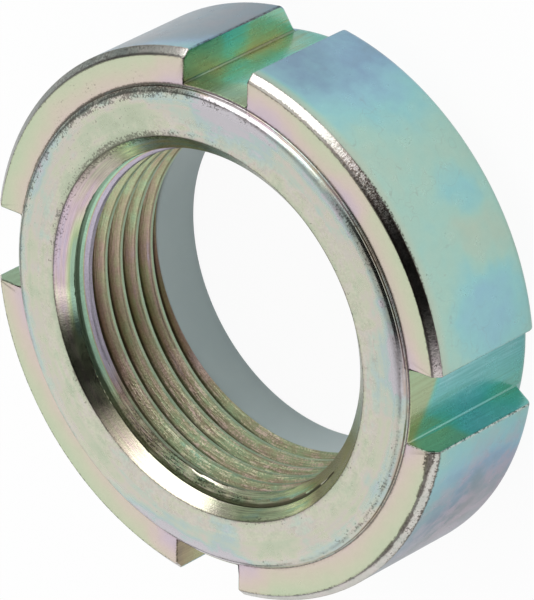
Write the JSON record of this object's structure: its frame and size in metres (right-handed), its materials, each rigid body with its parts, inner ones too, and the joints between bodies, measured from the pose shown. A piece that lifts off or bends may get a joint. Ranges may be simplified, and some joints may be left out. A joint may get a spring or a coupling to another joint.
{
  "type": "self-locking slotted round nut",
  "caption": "Round steel nut with spanner slots in its rim and a polyamide locking ring rolled in behind its thread.",
  "frame": {"origin": "middle of the rolled back collar's underside, on the thread axis, where the nut stands", "axes": "+Z along the thread axis, towards the front bearing face; +X and +Y each through the middle of a spanner slot"},
  "size_m": [0.0376, 0.0376, 0.013],
  "materials": {
    "plated_steel": "zinc plated with an iridescent clear passivation",
    "polyamide": "smooth blue-grey polyamide"
  },
  "bodies": {
    "root": {"nut_body": "plated_steel", "locking_ring": "polyamide"}
  },
  "joints": []
}
